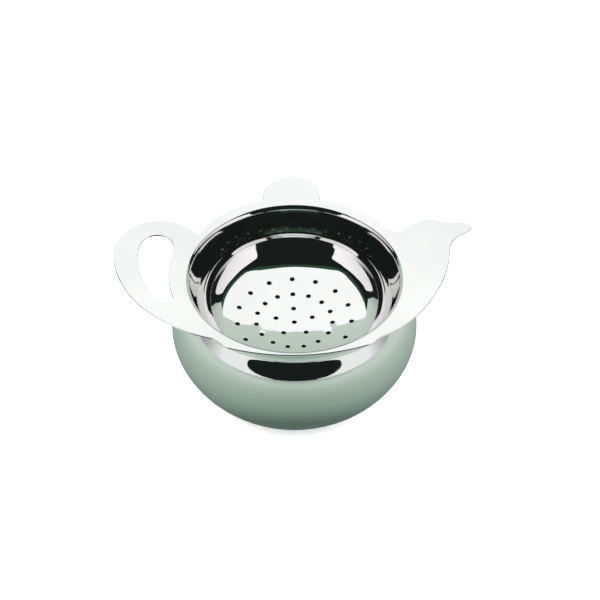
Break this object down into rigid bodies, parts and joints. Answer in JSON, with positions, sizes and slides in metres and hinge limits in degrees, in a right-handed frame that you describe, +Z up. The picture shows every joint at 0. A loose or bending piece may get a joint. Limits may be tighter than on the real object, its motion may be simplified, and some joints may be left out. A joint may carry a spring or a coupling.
{
  "type": "tea strainer",
  "caption": "Polished steel tea strainer in a teapot outline, with a perforated cup, lying on its round drip bowl.",
  "frame": {"origin": "on the table under the middle of the bowl's flat base", "axes": "+Z up, +X towards the spout, +Y towards the knob"},
  "size_m": [0.1132, 0.0859, 0.0433],
  "materials": {
    "strainer_steel": "mirror-polished stainless steel sheet",
    "bowl_steel": "polished stainless steel, spun and buffed round the bowl"
  },
  "bodies": {
    "bowl": {"drip_bowl": "bowl_steel"},
    "strainer": {"strainer": "strainer_steel"}
  },
  "joints": [
    {"name": "strainer_lift", "type": "slide", "parent": "bowl", "child": "strainer", "axis": [0, 0, 1], "range_m": [0, 0.04]}
  ]
}
